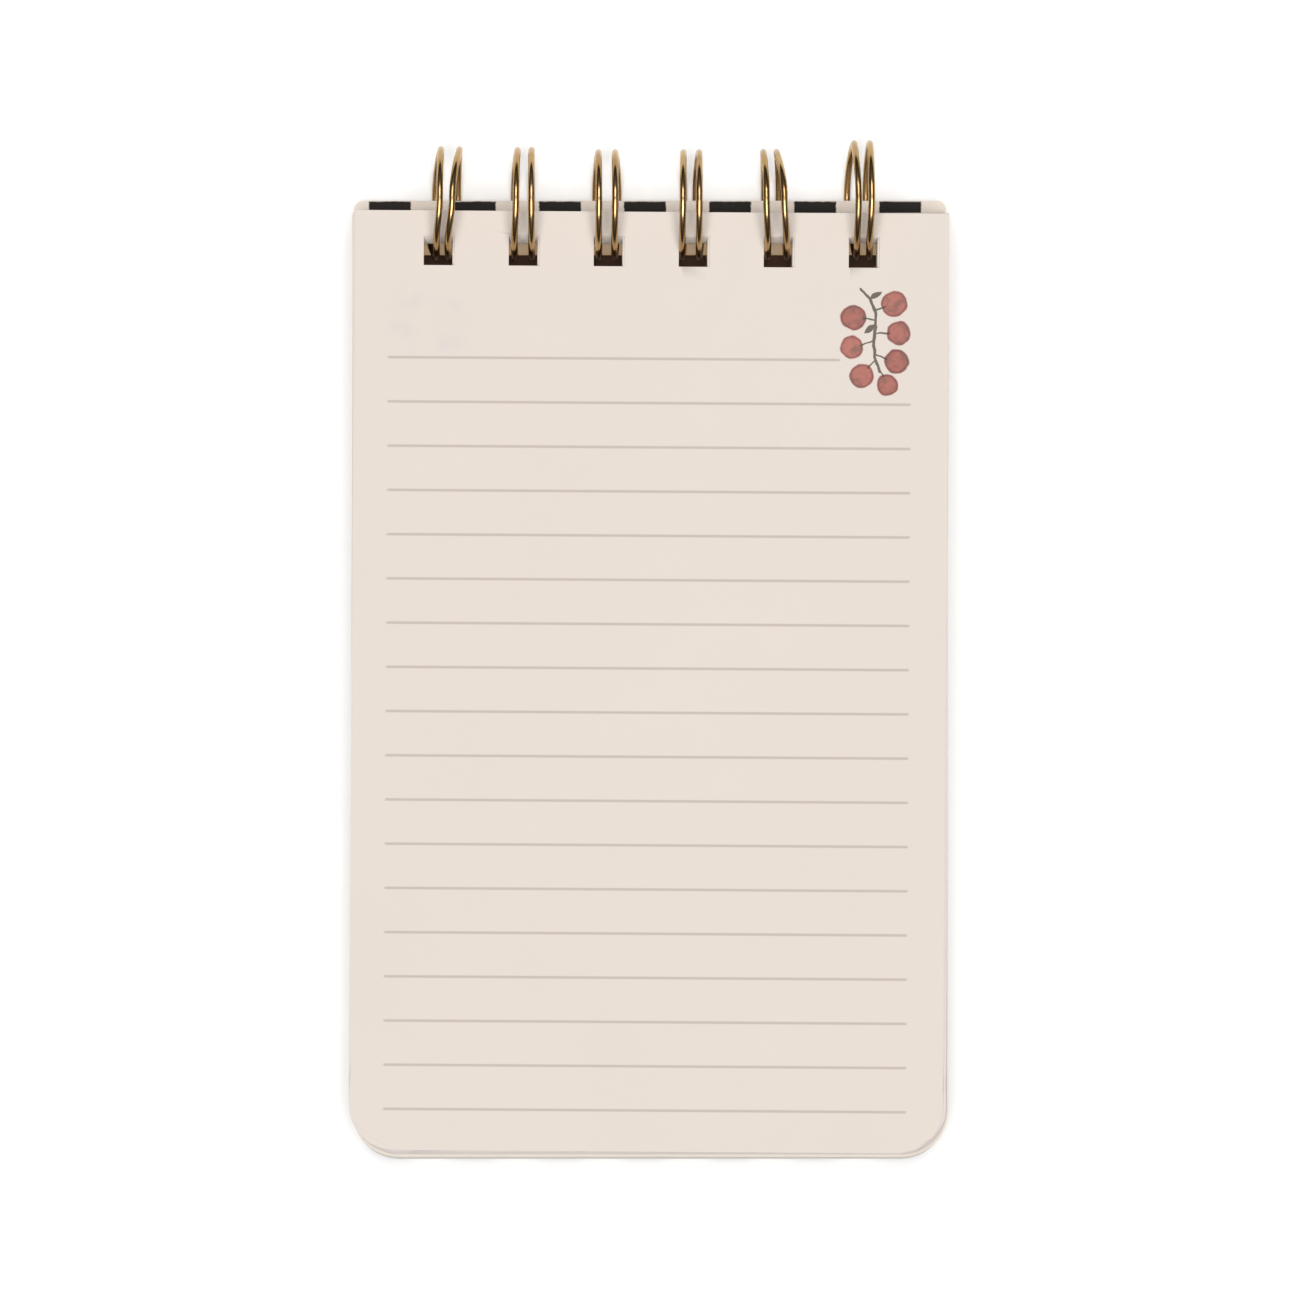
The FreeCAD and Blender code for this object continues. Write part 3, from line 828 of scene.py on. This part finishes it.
# %% Cover board, and both covers
BOARD_DARK, BOARD_LIGHT = linear(122, 113, 103), linear(172, 163, 152)
BOARD_STRETCH, BOARD_LAYERS = (250, 250, 9000), (1.0, 4.0, 0.7)
BOARD_FLECKS = (4500, 3.0)
LAYER_SHARE, FLECK_SHARE = 0.6, 0.4
BOARD_BAND = (0.3, 0.7)
BOARD_HEIGHT = 0.00005


def cover_board(name):
    """Grey pulp board."""
    material, wiring, shader = new_material(name, Roughness=0.93, Specular_IOR_Level=0.1)
    place = wiring.add("ShaderNodeTexCoord").outputs["Object"]
    layers = wiring.noise(wiring.vector("MULTIPLY", place, BOARD_STRETCH), *BOARD_LAYERS)
    flecks = wiring.noise(place, *BOARD_FLECKS)
    amount = wiring.math("ADD", wiring.math("MULTIPLY", layers, LAYER_SHARE),
                         wiring.math("MULTIPLY", flecks, FLECK_SHARE))
    grey = wiring.blend(wiring.step(amount, *BOARD_BAND), BOARD_DARK, BOARD_LIGHT)
    wiring.feed(shader["Base Color"], grey)
    wiring.feed(shader["Normal"], wiring.bump(amount, BOARD_HEIGHT, 0.6))
    return material


board = cover_board("cover_board_pulp")
for side in ("front", "back"):
    cover = side + "_cover"
    outer = cover_paper(cover + "_print", cover + "_face", True, side == "front")
    inner = cover_paper(cover + "_lining_paper", cover + "_lining", False, False)
    for layer, finish in (("_face", outer), ("_board", board), ("_lining", inner)):
        finish_node(cover + layer, finish)
print("covers of", len(bpy.data.materials), "materials in all with the leaves and the table")

# %% [markdown]
# The wire is one length of gold-coloured wire, bent into six double loops. On the real thing no
# two loops stand alike: some lean, and one has been pulled out further than the rest. A curve
# with a round bevel is the natural way to make wire: its points follow the ring's angle, and
# each arm's sideways place runs smoothly between what it is at the bar, in the holes, at the far
# side and at the tip. Turning the curve into a mesh then gives a plain piece.

# %% The binding wire
WIRE_RADIUS = 0.0005
RING_RADIUS = (wire_high.z - wire_low.z) / 2 - WIRE_RADIUS
ARM = 0.00128                 # from a loop's middle to each arm, where nothing has bent it
ELBOW_RADIUS = 0.001
END_STUB = 0.0016             # the straight end of the bar, past the first and the last elbow
ELBOW_ANGLE = math.radians(-52.3)
TIP_ANGLE = math.radians(279.5)
BAR_KEY, HOLE_KEYS, TOP_KEY, FAR_KEY, TIP_KEY = -52.0, (5.0, 42.0), 95.0, 172.0, 262.0   # degrees
WIRE_ROUNDNESS = 5

# Sideways places of the left and right arm from the middle of the loop's holes, in mm: in the
# holes, at the top of the ring, at its far side and near the tip. Last, how far the loop is
# pulled out.
LOOPS = [
    ((-0.15, 1.57), (0.40, 2.27), (0.48, 3.25), (-0.53, 2.90), 0.15),
    ((-1.20, 1.37), (-0.93, 1.37), (-0.76, 1.34), (-1.40, 1.20), 0.05),
    ((-1.31, 1.06), (-1.25, 1.18), (-1.37, 1.12), (-1.87, 1.60), -0.30),
    ((-1.54, 0.97), (-1.43, 1.02), (-1.37, 1.00), (-1.27, 0.52), -0.30),
    ((-1.45, 1.36), (-1.67, 1.00), (-2.11, -0.10), (-1.90, 0.31), -0.25),
    ((-0.85, 1.02), (-0.63, 1.34), (-1.20, 1.15), (-2.14, 0.67), 1.05),
]


def smooth_between(angle, keys):
    """A value that eases from each (angle in degrees, value) to the next."""
    degrees = math.degrees(angle)
    for (start, first), (end, second) in zip(keys, keys[1:]):
        if degrees <= end:
            share = max(0.0, (degrees - start) / (end - start))
            share = share * share * (3 - 2 * share)
            return first + (second - first) * share
    return keys[-1][1]


def ring_point(x, angle, pull):
    """A point of a loop. Angle 0 is towards the page, and a quarter turn is the ring's top."""
    away = max(0.0, -math.cos(angle)) ** 2
    radius = RING_RADIUS + pull * MM * away
    return Vector((x, -radius * math.cos(angle), radius * math.sin(angle)))


def arm_points(middle, side, loop, steps=56):
    """One arm, from its elbow to where the tip starts."""
    holes, top, far, tip, pull = loop
    keys = [(BAR_KEY, ARM / MM * (1 if side else -1)), (HOLE_KEYS[0], holes[side]),
            (HOLE_KEYS[1], holes[side]), (TOP_KEY, top[side]), (FAR_KEY, far[side]),
            (TIP_KEY, tip[side])]
    points = []
    for i in range(steps + 1):
        angle = ELBOW_ANGLE + (TIP_ANGLE - ELBOW_ANGLE) * i / steps
        points.append(ring_point(middle + smooth_between(angle, keys) * MM, angle, pull))
    return points


def turn_points(start, way_in, way_out, radius, steps=6):
    """The points of a quarter bend after its start, up to its end."""
    centre = start + way_out * radius
    points = []
    for i in range(1, steps + 1):
        turn = math.pi / 2 * i / steps
        points.append(centre - way_out * radius * math.cos(turn) + way_in * radius * math.sin(turn))
    return points


def tip_points(left, right, way, steps=10):
    """A half circle from the left arm's end to the right arm's end, swung out along way."""
    middle, half = (left + right) / 2, (right - left) / 2
    points = []
    for i in range(1, steps):
        turn = math.pi * i / steps
        points.append(middle - half * math.cos(turn) + way * half.length * math.sin(turn))
    return points


across = Vector((1, 0, 0))
rising = Vector((0, math.sin(ELBOW_ANGLE), math.cos(ELBOW_ANGLE)))
closing = Vector((0, math.sin(TIP_ANGLE), math.cos(TIP_ANGLE)))
route = []
for number, loop in enumerate(LOOPS):
    middle = (number - (len(LOOPS) - 1) / 2) * LOOP_PITCH
    up_arm = arm_points(middle, 0, loop)
    down_arm = arm_points(middle, 1, loop)
    bar_end = up_arm[0] - (across + rising) * ELBOW_RADIUS
    bar_start = down_arm[0] + (across - rising) * ELBOW_RADIUS
    if number == 0:
        route.append(bar_end - across * END_STUB)
    route.append(bar_end)
    route += turn_points(bar_end, across, rising, ELBOW_RADIUS)[:-1]
    route += up_arm
    route += tip_points(up_arm[-1], down_arm[-1], closing)
    route += down_arm[::-1]
    route += turn_points(down_arm[0], rising * -1, across, ELBOW_RADIUS)
    if number == len(LOOPS) - 1:
        route.append(bar_start + across * END_STUB)

curve = bpy.data.curves.new("binding_wire_loops", "CURVE")
curve.dimensions = "3D"
curve.bevel_depth = WIRE_RADIUS
curve.bevel_resolution = WIRE_ROUNDNESS
curve.use_fill_caps = True
line = curve.splines.new("POLY")
line.points.add(len(route) - 1)
for point, place in zip(line.points, route):
    point.co = (*place, 1)
wire = bpy.data.objects.new("binding_wire_loops", curve)
bpy.context.scene.collection.objects.link(wire)
only(wire)
bpy.ops.object.convert(target="MESH")
wire = bpy.context.object
wire.data.transform(Matrix.Translation(ring_axis) @ Matrix.Rotation(lean, 4, "X"))
bpy.ops.object.shade_smooth_by_angle(angle=math.radians(50))
print("wire has", len(wire.data.polygons), "faces")

# %% [markdown]
# The gold is a thin bright coat: faint drawing marks change its gloss, and it is tarnished a
# little in places. With that the wire is done, and takes the place of the plain one.

# %% Gold for the wire
GOLD, TARNISHED_GOLD = linear(188, 156, 108), linear(160, 128, 82)
DRAWN, DRAWN_ROUGHNESS, DRAWN_HEIGHT = (900, 4.0, 0.6), (0.12, 0.28), 0.00002
TARNISH, TARNISH_EDGE = (160, 3.0, 0.6), (0.35, 0.75)

gold, wiring, shader = new_material("gold_wire", Metallic=1.0, Roughness=0.2)
place = wiring.add("ShaderNodeTexCoord").outputs["Object"]
drawn = wiring.noise(place, *DRAWN)
tarnished = wiring.step(wiring.noise(place, *TARNISH), *TARNISH_EDGE)
wiring.feed(shader["Base Color"], wiring.blend(tarnished, GOLD, TARNISHED_GOLD))
wiring.feed(shader["Roughness"], wiring.span(drawn, *DRAWN_ROUGHNESS))
wiring.feed(shader["Normal"], wiring.bump(drawn, DRAWN_HEIGHT, 0.2))
wire.data.materials.append(gold)
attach(wire, "wire")
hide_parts("binding_wire")
print("gold wire rides on the wire's body")
